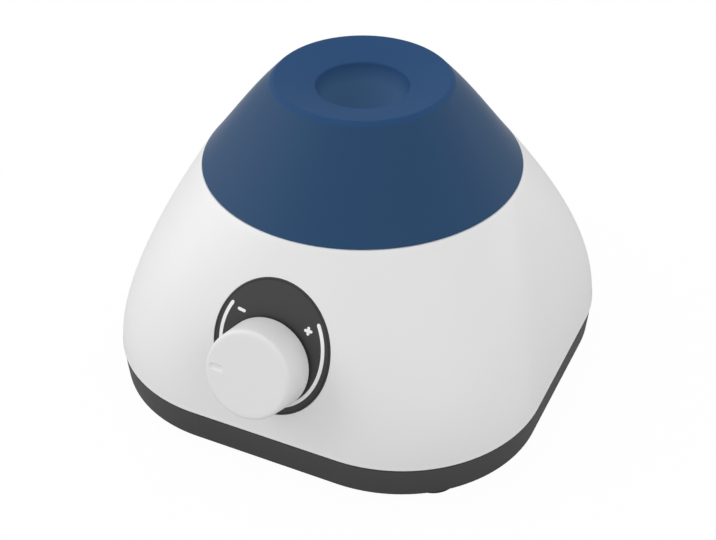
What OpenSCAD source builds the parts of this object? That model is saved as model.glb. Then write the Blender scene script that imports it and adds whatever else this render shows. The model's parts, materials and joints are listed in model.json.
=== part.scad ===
// Nail polish shaker: a small desk-top vortex mixer that shakes a bottle held on its rubber cup.
// The body stands about the motor's vertical axis. Heights are from the underside of the feet.
// The front faces -Y. All lengths are in millimetres and all angles in degrees.

/* [Body] */
// Width of the body across its flats, at the seam of the tray
body_w = 106; // [98:0.5:114]
// Corner radius of the body at the seam
body_corner = 34.8; // [30:0.1:40]
// Height of the upper shell
shell_h = 44.45; // [42:0.05:52]
// Radius of the round top edge of the shell, where the boot begins
shell_top_r = 37.6; // [36:0.1:40]
// How far the shell's sides bow outwards half-way up
shell_bow = 2.57; // [1:0.01:4]
// Height over the seam where the corner's end tangents cross
shoulder_h = 15.7; // [12:0.1:19]
// Level thickness of the shell's wall
shell_wall = 2.4; // [1.8:0.1:3]
// Thickness of the lip round the shell's top hole
lip_t = 2.4; // [1.8:0.1:3]
// Width of the ledge between the shell's top edge and its top hole
ledge_w = 3.2; // [2.6:0.1:4]

/* [Tray and feet] */
// Height of the dark tray under the shell
tray_h = 7.9; // [7.5:0.1:12]
// Thickness of the tray's floor
tray_floor = 2; // [1.5:0.1:3]
// How far the tray's foot is narrower than its seam, on each side
tray_draft = 0.8; // [0:0.1:1.5]
// Thickness of the tray's wall
tray_wall = 4.1; // [3.6:0.1:5]
// Height of the lip that centres the shell on the tray
register_h = 1.6; // [1:0.1:2.5]
// Height of the feet under the tray
foot_h = 1.8; // [1:0.1:3]
// Radius of a foot
foot_r = 6; // [4.5:0.1:6.5]
// Distance of a foot and its case screw from the body's left or right side
foot_in_x = 17; // [15:0.5:19]
// Distance of a foot and its case screw from the body's front or back
foot_in_y = 13.6; // [12:0.1:17]

/* [Cup] */
// Radius of the cup's top edge
rim_r = 20.4; // [19:0.1:23]
// Height of the cup's top edge over the shell
cup_h = 20.05; // [18.5:0.05:24]
// Radius of the bowl's mouth
bowl_r = 10.83; // [9.5:0.01:11.5]
// How far the bowl's mouth lies below the cup's top edge
funnel_h = 2.2; // [1.5:0.1:3]
// Depth of the bowl below its mouth
bowl_depth = 8.5; // [7.5:0.1:9]
// Thickness of the rubber
rubber_t = 2; // [1.5:0.1:2.4]
// Height of the boot's stiff top part at its outer edge
pad_h = 1.2; // [0.9:0.1:1.5]
// Offset of the crank pin, which is half of the shaking travel
crank_e = 2; // [1:0.1:2.4]
// Direction of the crank at rest, from +X
crank_at = 115; // [0:5:360]

/* [Motor and bearing] */
// Radius of the motor's can
can_r = 13.85; // [13:0.05:15]
// Length of the motor's can
can_h = 32; // [30:0.5:32.5]
// Radius of the motor's shaft
shaft_r = 1.15; // [1:0.05:1.6]
// Radius of the crank pin, which is the bearing's bore
pin_r = 2; // [1.8:0.1:2.3]
// Outer radius of the bearing
bearing_r = 6.5; // [6:0.1:7]
// Width of the bearing
bearing_h = 5; // [4:0.5:5]
// Radius of the counterweight
weight_r = 14; // [11:0.5:17]
// Distance of a frame leg from the motor's axis, along X and along Y
leg_at = 19; // [18:0.5:20]

/* [Speed dial] */
// Half width of the oval dial plate
dial_rx = 14.25; // [13:0.05:16]
// Half height of the oval dial plate
dial_ry = 15.9; // [14:0.1:17]
// Centre of the dial plate, up the front slope from the seam
dial_v = 22.9; // [21:0.1:25]
// Axis of the knob, up the front slope from the seam
knob_v = 19.2; // [18:0.1:22]
// Radius of the knob at its foot
knob_r = 10.55; // [9:0.05:12]
// Radius of the knob's face
knob_face_r = 10; // [8.5:0.05:11]
// Length of the knob
knob_h = 9; // [8:0.1:11]
// Edge fillet of the knob's face
knob_fillet = 0.9; // [0.4:0.1:1.5]
// Gap from the front's chord plane to the knob's foot
knob_gap = 3; // [2.9:0.1:4]

/* [Power inlet] */
// Height of the power inlet over the seam
jack_z = 9; // [8.5:0.5:14]
// Radius of the pocket round the power inlet
jack_pocket_r = 6.5; // [6:0.1:8]

/* [Hidden] */

$fn = 64;
root2 = sqrt(2);
arc_steps = 16;         // facets in each corner of the body
shell_levels = 11;      // facets up the shell
cut = 0.5;              // how far a cutter runs past the face it cuts
touch = 0.02;           // gap between a screw or shaft and the hole that grips it
run_gap = 0.05;         // radial clearance of a running fit
free_gap = 0.3;         // least gap between pieces that move past each other

// heights
seam_z = foot_h + tray_h;
boot_z = seam_z + shell_h;
rim_z = boot_z + cup_h;
bowl_rim_z = rim_z - funnel_h;
bowl_sphere_r = (bowl_r * bowl_r + bowl_depth * bowl_depth) / (2 * bowl_depth);
bowl_centre_z = bowl_rim_z - bowl_depth + bowl_sphere_r;
pad_z = rim_z - pad_h;
carrier_floor_t = 1.3;
pin_end_gap = 0.4;      // from the crank pin's end to the carrier's floor
clip_t = 0.6;
clip_land = 0.6;        // length of pin past the clip's groove
pin_top_z = bowl_rim_z - bowl_depth - rubber_t - carrier_floor_t - pin_end_gap;
bearing_top_z = pin_top_z - clip_land - clip_t;
bearing_z = bearing_top_z - bearing_h;
floor_z = foot_h + tray_floor;
can_lift = 4.9;         // room over the tray's floor for the motor's end bearing and its tabs
can_z = floor_z + can_lift;
can_top_z = can_z + can_h;
frame_plate_t = 2.4;
frame_top_z = can_top_z + frame_plate_t;
hub_lift = 2;           // room over the frame for the motor screws' heads
hub_z = frame_top_z + hub_lift;
hub_boss_h = 0.5;
hub_h = bearing_z - hub_boss_h - hub_z;

// body
body_half = body_w / 2;
body_reach = root2 * body_half - (root2 - 1) * body_corner;
wall_tilt = atan((body_half - shell_top_r) / shell_h);
cavity_half = body_half - tray_wall;
cavity_corner = body_corner - tray_wall;
top_hole_r = shell_top_r - ledge_w;
foot_x = body_half - foot_in_x;
foot_y = body_half - foot_in_y;

// the knob's foremost point sets the middle of the whole machine
knob_reach = body_half - knob_v * sin(wall_tilt) + (knob_gap + knob_h - knob_fillet) * cos(wall_tilt)
    + (knob_face_r - knob_fillet) * sin(wall_tilt) + knob_fillet;
body_flat = body_half - body_corner * (1 - cos(45 / arc_steps));
axis_y = (knob_reach - body_flat) / 2;

// crank
crank_x = crank_e * cos(crank_at);
crank_y = crank_e * sin(crank_at);

// The shell's corner follows a quadratic curve, upright at the seam; s runs from 0 at the seam to 1
function shell_z(s) = 2 * s * (1 - s) * shoulder_h + s * s * shell_h;
function shell_s(z) = let (a = shell_h - 2 * shoulder_h, b = 2 * shoulder_h)
    (sqrt(b * b + 4 * a * z) - b) / (2 * a);
function shell_reach(s) = body_reach + s * s * (shell_top_r - body_reach);
function shell_half(z) = let (t = z / shell_h)
    body_half + t * (shell_top_r - body_half) + 4 * shell_bow * t * (1 - t);
function shell_corner(s) = (root2 * shell_half(shell_z(s)) - shell_reach(s)) / (root2 - 1);

// A level ring of points round a square with round corners
function ring(half, corner, z) = [for (q = [0:3], i = [0:arc_steps - 1])
    let (turn = 90 * (q + (i + 0.5) / arc_steps), c = half - corner,
        sx = (q == 0 || q == 3) ? 1 : -1, sy = (q < 2) ? 1 : -1)
    [c * sx + corner * cos(turn), c * sy + corner * sin(turn), z]];
// A level ring of points round a circle
function round_ring(r, x, y, z) = [for (i = [0:$fn - 1])
    [x + r * cos(i * 360 / $fn), y + r * sin(i * 360 / $fn), z]];
// Points of an arc in the plane, from angle a0 to angle a1
function arc(x, y, r, a0, a1, n) = [for (i = [0:n])
    let (a = a0 + (a1 - a0) * i / n) [x + r * cos(a), y + r * sin(a)]];

// A closed solid through rings of equally many points, listed from the bottom up
module loft(rings) {
    n = len(rings[0]);
    sides = [for (k = [0:len(rings) - 2], i = [0:n - 1])
        let (a = k * n + i, b = k * n + (i + 1) % n)
        each [[a, a + n, b + n], [a, b + n, b]]];
    bottom = [for (i = [0:n - 1]) i];
    top = [for (i = [n - 1:-1:0]) (len(rings) - 1) * n + i];
    polyhedron([for (r = rings) each r], concat([bottom], sides, [top]), convexity = 4);
}

// A square with round corners
module rounded_square(half, corner) {
    straight = 2 * (half - corner);
    square([2 * half, straight], center = true);
    square([straight, 2 * half], center = true);
    for (x = [-1, 1], y = [-1, 1])
        translate([x * (half - corner), y * (half - corner)]) circle(corner);
}

// Places children about the motor's axis
module on_axis() {
    translate([0, axis_y, 0]) children();
}

// Places children about the crank pin's axis at rest
module on_crank() {
    translate([crank_x, axis_y + crank_y, 0]) children();
}

// Places children on the front's chord plane: x to the side, y up the slope, z outwards
module on_front(v) {
    translate([0, axis_y - body_half, seam_z]) rotate([90 - wall_tilt, 0, 0])
        translate([0, v, 0]) children();
}

// Places children at each foot and case screw
module at_feet() {
    for (x = [-1, 1], y = [-1, 1]) translate([x * foot_x, axis_y + y * foot_y, 0]) children();
}

// Places children at each leg of the motor's frame
module at_legs() {
    for (x = [-1, 1], y = [-1, 1]) translate([x * leg_at, axis_y + y * leg_at, 0]) children();
}

// A round pan head screw that points up, with its head's top face at z = 0
module pan_screw(head_r, head_h, shank_r, length) {
    rotate_extrude() polygon([[0, 0], [head_r - 0.5, 0], [head_r, 0.5], [head_r, head_h], [shank_r, head_h],
        [shank_r, head_h + length - shank_r / 2], [shank_r / 2, head_h + length], [0, head_h + length]]);
}

// --- upper shell ---

clamp_out = 3.5;        // distance of a boot clamp screw outside the shell's top hole
clamp_at = top_hole_r + clamp_out;
clamp_drop = 9.55;      // depth of the boot clamp ring's underside below the shell's top
clamp_ring_z = boot_z - clamp_drop;
clamp_ear_t = 1.9;
clamp_screw_r = 1;
clamp_boss_r = 2.5;
clamp_boss_h = 8;
clamp_bite = 6.5;       // depth of a clamp screw's hole over the ring's underside
dial_depth = 0.35;
dial_film = 0.12;       // how far the dial plate stands proud
dial_gap = 0.1;
dial_cut_h = 6;
pot_seat_off = -1.2;
pot_seat_r = 9.5;
pot_seat_h = 3;
pot_face_off = 2;
pot_bush_r = 3.5;
pot_washer_r = 6;
jack_r = 4;
jack_recess = 1.1;
jack_face_y = shell_half(jack_z + jack_pocket_r) - jack_recess;
jack_wall = 2.2;
jack_collar_w = 1.5;
case_pilot_r = 1.5;
case_boss_r = 4;
case_boss_h = 12.5;
rib_t = 1.6;
rib_l = 14;
inner_skin = 0.8;       // least skin outside whatever is moulded on the shell's inner face
pilot_gap = 0.1;        // radial clearance of a hole that a bush or plug passes through

// The outside of the shell, made smaller all round by inset
module shell_solid(inset) {
    translate([0, axis_y, seam_z]) loft([for (k = [0:shell_levels])
        let (s = k / shell_levels)
        ring(shell_half(shell_z(s)) - inset, shell_corner(s) - inset, shell_z(s))]);
}

module shell_cavity() {
    levels = 8;
    s_top = shell_s(shell_h - lip_t);
    translate([0, axis_y, seam_z]) loft(concat(
        [ring(body_half - shell_wall, body_corner - shell_wall, -cut)],
        [for (k = [0:levels]) let (s = s_top * k / levels)
            ring(shell_half(shell_z(s)) - shell_wall, shell_corner(s) - shell_wall, shell_z(s))]));
}

module dial_oval(grow) {
    on_front(dial_v) linear_extrude(dial_cut_h) polygon([for (i = [0:47])
        [(dial_rx + grow) * cos(i * 7.5), (dial_ry + grow) * sin(i * 7.5)]]);
}

module clamp_places() {
    for (turn = [45:90:315]) on_axis() rotate(turn) translate([clamp_at, 0, 0]) children();
}

// Places children on the power inlet's axis, with z outwards from the bottom of its pocket
module on_back() {
    translate([0, axis_y + jack_face_y, seam_z + jack_z]) rotate([-90, 0, 0]) children();
}

// A boss for a case screw at each corner, joined to the corner's wall by a rib over the tray's lip
module case_bosses() {
    at_feet() translate([0, 0, seam_z + pilot_gap]) cylinder(r = case_boss_r, h = case_boss_h);
    rib_z = seam_z + register_h + free_gap;
    for (turn = [atan2(foot_y, foot_x), 180 - atan2(foot_y, foot_x)], half_turn = [0, 180])
        on_axis() rotate(turn + half_turn) translate([norm([foot_x, foot_y]), -rib_t / 2, rib_z])
            cube([rib_l, rib_t, seam_z + case_boss_h - rib_z]);
}

module shell_seats() {
    case_bosses();
    clamp_places() translate([0, 0, clamp_ring_z + clamp_ear_t + pilot_gap])
        cylinder(r = clamp_boss_r, h = clamp_boss_h);
    on_front(knob_v) translate([0, 0, pot_seat_off]) cylinder(r = pot_seat_r, h = pot_seat_h);
    on_back() translate([0, 0, -jack_wall]) cylinder(r = jack_pocket_r + jack_collar_w, h = jack_wall);
}

module upper_shell() color("whitesmoke") difference() {
    union() {
        difference() {
            shell_solid(0);
            shell_cavity();
        }
        intersection() {
            shell_solid(inner_skin);
            shell_seats();
        }
    }
    difference() {
        dial_oval(dial_gap);
        shell_solid(dial_depth);
    }
    on_axis() translate([0, 0, boot_z - 2 * lip_t]) cylinder(r = top_hole_r, h = 3 * lip_t);
    on_front(knob_v) {
        translate([0, 0, pot_face_off]) cylinder(r = pot_washer_r + free_gap, h = dial_cut_h);
        translate([0, 0, pot_seat_off - cut]) cylinder(r = pot_bush_r + pilot_gap, h = dial_cut_h);
    }
    on_back() {
        cylinder(r = jack_pocket_r, h = jack_pocket_r + shell_wall);
        translate([0, 0, -jack_wall - cut]) cylinder(r = jack_r + pilot_gap, h = jack_pocket_r);
    }
    at_feet() translate([0, 0, seam_z - cut]) cylinder(r = case_pilot_r, h = case_boss_h - 2 * cut);
    clamp_places() translate([0, 0, clamp_ring_z]) cylinder(r = clamp_screw_r + touch, h = clamp_bite);
}

// --- base tray, feet and case screws ---

tray_edge = 0.5;        // chamfer of the tray's lower edge
lip_gap = 0.5;          // clearance of the centring lip inside the shell
post_foot = 1;          // how far the posts start above the tray's underside
case_post_r = 5;
frame_post_r = 4.5;
frame_post_h = 7.2;
frame_post_top_z = floor_z + frame_post_h;
screw_way_r = 1.75;
head_r = 2.8;
head_h = 2;
head_pocket_r = 3.2;
case_head_z = foot_h + 3;
frame_head_z = foot_h + 1.4;
case_screw_l = 13;
foot_sink = 0.6;
foot_fit = 0.15;
foot_edge = 0.5;
board_edge_gap = 2.9;   // from the board to the tray's wall
board_leg_gap = 2.5;    // from the board to the frame's posts
board_left = -(cavity_half - board_edge_gap);
board_right = -(leg_at + frame_post_r + board_leg_gap);
board_x = (board_left + board_right) / 2;
board_w = board_right - board_left;
board_l = 44;
board_t = 1.6;
board_hole_in_x = 3;
board_hole_in_y = 4;
board_hole_r = 1.2;
board_post_r = 2.6;
board_post_h = 6;
board_z = floor_z + board_post_h;
board_screw_r = 1;
board_screw_l = 5.5;
board_pilot_l = 4.5;

module at_board_holes() {
    for (x = [-1, 1], y = [-1, 1])
        translate([board_x + x * (board_w / 2 - board_hole_in_x), y * (board_l / 2 - board_hole_in_y), 0])
            on_axis() children();
}

module base_tray() color("dimgray") difference() {
    union() {
        difference() {
            on_axis() union() {
                loft([
                    ring(body_half - tray_draft - tray_edge, body_corner - tray_draft - tray_edge, foot_h),
                    ring(body_half - tray_draft, body_corner - tray_draft, foot_h + tray_edge),
                    ring(body_half, body_corner, seam_z)]);
                translate([0, 0, foot_h + post_foot]) linear_extrude(tray_h - post_foot + register_h)
                    rounded_square(body_half - shell_wall - lip_gap, body_corner - shell_wall - lip_gap);
            }
            on_axis() translate([0, 0, floor_z]) linear_extrude(tray_h + register_h)
                rounded_square(cavity_half, cavity_corner);
        }
        at_feet() translate([0, 0, foot_h + post_foot]) cylinder(r = case_post_r, h = tray_h - post_foot);
        at_legs() translate([0, 0, foot_h + post_foot])
            cylinder(r = frame_post_r, h = frame_post_top_z - foot_h - post_foot);
        at_board_holes() translate([0, 0, foot_h + post_foot])
            cylinder(r = board_post_r, h = board_z - foot_h - post_foot);
    }
    at_feet() {
        translate([0, 0, foot_h - cut]) cylinder(r = foot_r + foot_fit, h = foot_sink + cut);
        translate([0, 0, foot_h]) cylinder(r = screw_way_r, h = tray_h + register_h);
        translate([0, 0, foot_h]) cylinder(r = head_pocket_r, h = case_head_z + head_h - foot_h);
        translate([0, 0, seam_z]) cylinder(r = case_boss_r + free_gap, h = register_h + cut);
    }
    at_legs() {
        translate([0, 0, foot_h - cut]) cylinder(r = screw_way_r, h = frame_post_top_z - foot_h + 2 * cut);
        translate([0, 0, foot_h - cut]) cylinder(r = head_pocket_r, h = frame_head_z + head_h + cut - foot_h);
    }
    at_board_holes() translate([0, 0, board_z - board_pilot_l])
        cylinder(r = board_screw_r + touch, h = board_pilot_l + cut);
}

module rubber_feet() color("black") at_feet() rotate_extrude() polygon([[0, 0], [foot_r - foot_edge, 0],
    [foot_r, foot_edge], [foot_r, foot_h + foot_sink], [0, foot_h + foot_sink]]);

module case_screws() color("silver") at_feet() translate([0, 0, case_head_z])
    pan_screw(head_r, head_h, case_pilot_r - touch, case_screw_l);

// --- speed dial: plate, control and knob ---

knob_wall = 1.6;
knob_top_t = 2;
knob_hub_r = 5;
knob_foot_edge = 0.2;
groove_near = 6.8;      // ends of the knob's pointer groove, from its axis
groove_far = 8.7;
groove_r = 0.6;
groove_depth = 0.35;
pot_r = 8;
pot_h = 8;
pot_back_t = 1.5;
pot_shaft_r = 3;
pot_shaft_gap = 0.2;
pot_bush_off = 5.6;
pot_washer_t = 0.5;
pot_nut_t = 2;
pot_nut_r = 5.6;
pot_tag_pitch = 5;
pot_tag_w = 1.5;
pot_tag_t = 0.6;
pot_tag_l = 5;
pot_card_w = 13;
pot_card_t = 3;
pot_card_drop = 1.5;
pot_back_off = pot_seat_off - pot_h;
pot_tag_off = pot_back_off + 2;
pot_shaft_off = pot_back_off + pot_back_t + cut;
knob_off = knob_gap + knob_h;

module dial_plate() color("dimgray") difference() {
    intersection() {
        shell_solid(-dial_film);
        dial_oval(0);
    }
    shell_solid(dial_depth);
    on_front(knob_v) cylinder(r = pot_washer_r + free_gap, h = dial_cut_h);
}

module pot_body() color("darkgreen") on_front(knob_v) difference() {
    union() {
        translate([0, 0, pot_back_off]) cylinder(r = pot_r, h = pot_h);
        translate([0, 0, pot_seat_off - cut]) cylinder(r = pot_bush_r, h = pot_bush_off - pot_seat_off + cut);
        for (x = [-1:1]) translate([x * pot_tag_pitch - pot_tag_w / 2, -pot_r - pot_tag_l, pot_tag_off])
            cube([pot_tag_w, pot_r, pot_tag_t]);
        translate([-pot_card_w / 2, -pot_r - pot_card_drop, pot_tag_off - 1])
            cube([pot_card_w, pot_r - 2, pot_card_t]);
    }
    translate([0, 0, pot_back_off + pot_back_t]) cylinder(r = pot_shaft_r + run_gap, h = pot_h + knob_off);
}

module pot_washer() color("silver") on_front(knob_v) translate([0, 0, pot_face_off]) difference() {
    cylinder(r = pot_washer_r, h = pot_washer_t);
    translate([0, 0, -cut]) cylinder(r = pot_bush_r + touch, h = pot_washer_t + 2 * cut);
}

module pot_nut() color("silver") on_front(knob_v)
    translate([0, 0, pot_face_off + pot_washer_t]) difference() {
        cylinder(r = pot_nut_r, h = pot_nut_t, $fn = 6);
        translate([0, 0, -cut]) cylinder(r = pot_bush_r + touch, h = pot_nut_t + 2 * cut);
    }

module pot_shaft() color("silver") on_front(knob_v) translate([0, 0, pot_shaft_off])
    cylinder(r = pot_shaft_r, h = knob_off - knob_top_t - pot_shaft_gap - pot_shaft_off);

module speed_knob() color("white") on_front(knob_v) difference() {
    rotate_extrude($fn = 96) polygon(concat(
        [[knob_r - knob_wall, knob_gap], [knob_r - knob_foot_edge, knob_gap],
            [knob_r, knob_gap + knob_foot_edge]],
        arc(knob_face_r - knob_fillet, knob_off - knob_fillet, knob_fillet, 0, 90, 6),
        [[0, knob_off], [0, pot_bush_off + free_gap], [knob_hub_r, pot_bush_off + free_gap],
            [knob_hub_r, knob_off - knob_top_t], [knob_face_r - knob_wall, knob_off - knob_top_t]]));
    translate([0, 0, pot_bush_off - cut])
        cylinder(r = pot_shaft_r + touch, h = knob_off - knob_top_t - pot_bush_off + cut);
    hull() for (x = [groove_near, groove_far]) translate([-x, 0, knob_off - groove_depth])
        cylinder(r = groove_r, h = 2 * cut, $fn = 24);
}

// --- motor ---

can_wall = 0.9;
can_end_t = 1.2;
can_boss_r = 5;
can_boss_h = 2;
motor_screw_at = 8;
motor_screw_r = 1.2;
motor_screw_head_r = 2.2;
motor_screw_head_h = 1.4;
motor_screw_l = frame_plate_t + 2.5;
magnet_t = 2.8;
magnet_h = 20;
magnet_z = can_z + 4;
magnet_split = 6;
endcap_t = 1.6;
endcap_plug = 2;
endcap_boss_r = 4;
endcap_boss_h = 1;
tab_at = 9;
tab_w = 2.8;
tab_t = 0.6;
tab_l = 2.4;
core_r = 9.4;
core_h = 16;
core_z = can_z + 6;
core_slots = 5;
slot_r = 1.9;
slot_at = 6.2;
slot_w = 1.8;
commutator_r = 3.4;
commutator_z = can_z + 2.6;
shaft_tail = 3.4;       // how far the shaft's end stands out under the can
shaft_hole_rest = 3;    // what the shaft leaves of the hub's height
shaft_grip = hub_h - shaft_hole_rest;

module motor_can() color("silver") on_axis() difference() {
    union() {
        translate([0, 0, can_z]) cylinder(r = can_r, h = can_h);
        translate([0, 0, can_top_z - cut]) cylinder(r = can_boss_r, h = can_boss_h + cut);
    }
    translate([0, 0, can_z - cut]) cylinder(r = can_r - can_wall, h = can_h - can_end_t + cut);
    translate([0, 0, can_top_z - can_end_t - cut])
        cylinder(r = shaft_r + run_gap, h = can_boss_h + can_end_t + 2 * cut);
    for (x = [-1, 1]) translate([x * motor_screw_at, 0, can_top_z - can_end_t - cut])
        cylinder(r = motor_screw_r + touch, h = can_end_t + 2 * cut);
}

module motor_magnets() color("dimgray") on_axis() translate([0, 0, magnet_z]) difference() {
    cylinder(r = can_r - can_wall - touch, h = magnet_h);
    translate([0, 0, -cut]) cylinder(r = can_r - can_wall - magnet_t, h = magnet_h + 2 * cut);
    translate([-magnet_split / 2, -can_r, -cut]) cube([magnet_split, 2 * can_r, magnet_h + 2 * cut]);
}

module motor_endcap() color("black") on_axis() difference() {
    union() {
        translate([0, 0, can_z - endcap_t]) cylinder(r = can_r, h = endcap_t);
        translate([0, 0, can_z - cut]) cylinder(r = can_r - can_wall - touch, h = endcap_plug + cut);
        translate([0, 0, can_z - endcap_t - endcap_boss_h])
            cylinder(r = endcap_boss_r, h = 2 * endcap_boss_h);
        for (x = [-1, 1]) translate([x * tab_at - tab_t / 2, -tab_w / 2, can_z - endcap_t - tab_l])
            cube([tab_t, tab_w, tab_l + cut]);
    }
    translate([0, 0, can_z - can_lift]) cylinder(r = shaft_r + run_gap, h = can_lift + endcap_plug + cut);
}

module motor_armature() color("peru") on_axis() difference() {
    union() {
        translate([0, 0, core_z]) cylinder(r = core_r, h = core_h);
        translate([0, 0, commutator_z]) cylinder(r = commutator_r, h = core_z - commutator_z + cut);
    }
    for (k = [0:core_slots - 1]) rotate(k * 360 / core_slots) {
        translate([slot_at + slot_r / 2, -slot_w / 2, core_z - cut]) cube([core_r, slot_w, core_h + 2 * cut]);
        translate([slot_at, 0, core_z - cut]) cylinder(r = slot_r, h = core_h + 2 * cut);
    }
    translate([0, 0, can_z]) cylinder(r = shaft_r + touch, h = can_h);
}

module motor_shaft() color("silver") on_axis() translate([0, 0, can_z - shaft_tail])
    cylinder(r = shaft_r, h = hub_z + shaft_grip - can_z + shaft_tail);

// --- frame that carries the motor ---

leg_r = 4;
grommet_h = 2;
leg_z = frame_post_top_z + grommet_h;
frame_pilot_r = 1.5;
frame_pilot_l = 14;
frame_bite = 10;        // length of a frame screw inside its leg
frame_rim = 2;
arm_w = 6;
gusset_t = 2;
gusset_h = 10;

module motor_frame() color("ivory") difference() {
    union() {
        on_axis() translate([0, 0, can_top_z]) {
            cylinder(r = can_r + frame_rim, h = frame_plate_t);
            for (turn = [45, 135]) rotate(turn) translate([-leg_at * root2, -arm_w / 2, 0])
                cube([2 * leg_at * root2, arm_w, frame_plate_t]);
        }
        at_legs() translate([0, 0, leg_z]) cylinder(r = leg_r, h = frame_top_z - leg_z);
        on_axis() for (turn = [45:90:315]) rotate(turn)
            translate([can_r + frame_rim - cut, -gusset_t / 2, can_top_z - gusset_h])
                cube([leg_at * root2 - can_r - frame_rim - 2 * cut, gusset_t, gusset_h + cut]);
    }
    on_axis() {
        translate([0, 0, can_top_z - cut]) cylinder(r = can_boss_r + pilot_gap, h = frame_plate_t + 2 * cut);
        for (x = [-1, 1]) translate([x * motor_screw_at, 0, can_top_z - cut])
            cylinder(r = motor_screw_r + free_gap, h = frame_plate_t + 2 * cut);
    }
    at_legs() translate([0, 0, leg_z - cut]) cylinder(r = frame_pilot_r, h = frame_pilot_l);
}

module motor_screws() color("silver") on_axis() for (x = [-1, 1])
    translate([x * motor_screw_at, 0, frame_top_z + motor_screw_head_h]) mirror([0, 0, 1])
        pan_screw(motor_screw_head_r, motor_screw_head_h, motor_screw_r, motor_screw_l);

module frame_grommets() color("black") at_legs() translate([0, 0, frame_post_top_z]) difference() {
    cylinder(r = frame_post_r, h = grommet_h);
    translate([0, 0, -cut]) cylinder(r = screw_way_r, h = grommet_h + 2 * cut);
}

module frame_screws() color("silver") at_legs() translate([0, 0, frame_head_z])
    pan_screw(head_r, head_h, frame_pilot_r - touch, leg_z + frame_bite - frame_head_z - head_h);

// --- crank and bearing ---

race_t = 1.1;
ball_r = 1.15;
ball_count = 7;
ball_gap = 0.06;
ball_at = (pin_r + bearing_r) / 2;
hub_r = 6.5;
hub_boss_t = 0.9;
pin_hole_rest = 2.4;    // what the crank pin leaves of the hub's height, under its seat
pin_z = hub_z + hub_h - pin_hole_rest;
weight_lift = 1;
weight_h = hub_h - 3 * weight_lift;
grub_r = 1.5;
grub_l = 4.2;
grub_socket_r = 0.75;
grub_socket_l = 1.4;
grub_z = hub_z + shaft_grip / 2 + cut;
clip_groove = 0.4;      // depth of the clip's groove in the pin
clip_w = 1.1;
clip_mouth = 1.6;

module eccentric_hub() color("goldenrod") on_axis() difference() {
    union() {
        translate([0, 0, hub_z]) cylinder(r = hub_r, h = hub_h);
        translate([crank_x, crank_y, hub_z + hub_h - cut])
            cylinder(r = pin_r + hub_boss_t, h = hub_boss_h + cut);
        rotate(crank_at) translate([0, 0, hub_z + weight_lift]) difference() {
            cylinder(r = weight_r, h = weight_h);
            translate([0, -weight_r, -cut]) cube([weight_r, 2 * weight_r, weight_h + 2 * cut]);
        }
    }
    translate([0, 0, hub_z - cut]) cylinder(r = shaft_r + touch, h = shaft_grip + 0.2 + cut);
    translate([crank_x, crank_y, pin_z]) cylinder(r = pin_r + touch, h = hub_h);
    translate([0, 0, grub_z]) rotate([0, 90, crank_at]) cylinder(r = grub_r, h = hub_r + cut);
}

module hub_grub_screw() color("dimgray") on_axis() translate([0, 0, grub_z]) rotate([0, 90, crank_at])
    translate([0, 0, shaft_r + touch]) difference() {
        cylinder(r = grub_r - touch, h = grub_l);
        translate([0, 0, grub_l - grub_socket_l])
            cylinder(r = grub_socket_r, h = grub_socket_l + cut, $fn = 6);
    }

module crank_pin() color("silver") on_crank() difference() {
    translate([0, 0, pin_z + touch]) cylinder(r = pin_r, h = pin_top_z - pin_z - touch);
    translate([0, 0, bearing_top_z + touch]) difference() {
        cylinder(r = pin_r + cut, h = clip_t + touch);
        translate([0, 0, -cut]) cylinder(r = pin_r - clip_groove, h = clip_t + 2 * cut);
    }
}

module pin_clip() color("dimgray") on_crank() translate([0, 0, bearing_top_z + 2 * touch]) difference() {
    cylinder(r = pin_r + clip_w, h = clip_t - touch);
    translate([0, 0, -cut]) cylinder(r = pin_r - clip_groove + touch, h = clip_t + 2 * cut);
    translate([0, -clip_mouth / 2, -cut]) cube([pin_r + clip_w + cut, clip_mouth, clip_t + 2 * cut]);
}

module race_groove() {
    rotate_extrude() translate([ball_at, 0]) circle(ball_r + ball_gap, $fn = 32);
}

module bearing_inner_race() color("silver") on_crank() translate([0, 0, bearing_z]) difference() {
    cylinder(r = pin_r + race_t, h = bearing_h);
    translate([0, 0, -cut]) cylinder(r = pin_r + touch, h = bearing_h + 2 * cut);
    translate([0, 0, bearing_h / 2]) race_groove();
}

module bearing_balls() color("silver") on_crank() translate([0, 0, bearing_z + bearing_h / 2])
    for (k = [0:ball_count - 1]) rotate(k * 360 / ball_count) translate([ball_at, 0, 0])
        sphere(ball_r, $fn = 32);

module bearing_outer_race() color("silver") on_crank() translate([0, 0, bearing_z]) difference() {
    cylinder(r = bearing_r, h = bearing_h);
    translate([0, 0, -cut]) cylinder(r = bearing_r - race_t, h = bearing_h + 2 * cut);
    translate([0, 0, bearing_h / 2]) race_groove();
}

// --- cup and boot ---

flank = (shell_top_r - rim_r) / cup_h;      // how much the boot widens for each millimetre down
skin_w = rubber_t * sqrt(1 + flank * flank);
funnel_slope = funnel_h / (rim_r - bowl_r);
under_z = bowl_rim_z - rubber_t * sqrt(1 + funnel_slope * funnel_slope);
function under_funnel(r) = under_z + (r - bowl_r) * funnel_slope;
// Radius where the funnel's flat underside meets the round underside of the bowl
under_sphere_r = bowl_sphere_r + rubber_t;
under_drop = bowl_centre_z - under_funnel(0);
slope_sq = 1 + funnel_slope * funnel_slope;
under_r = (funnel_slope * under_drop
    + sqrt(under_sphere_r * under_sphere_r * slope_sq - under_drop * under_drop)) / slope_sq;
carrier_edge = 2.2;     // how far the carrier's disc is smaller than the cup's top edge
carrier_r = rim_r - carrier_edge;
carrier_t = 2;
carrier_wall = 2.7;
carrier_boss_h = 10;
carrier_rib_t = 1.6;
pad_step = 0.2;         // how far the pad's outer edge keeps clear of the carrier's disc
rim_round = 0.5;

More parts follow.
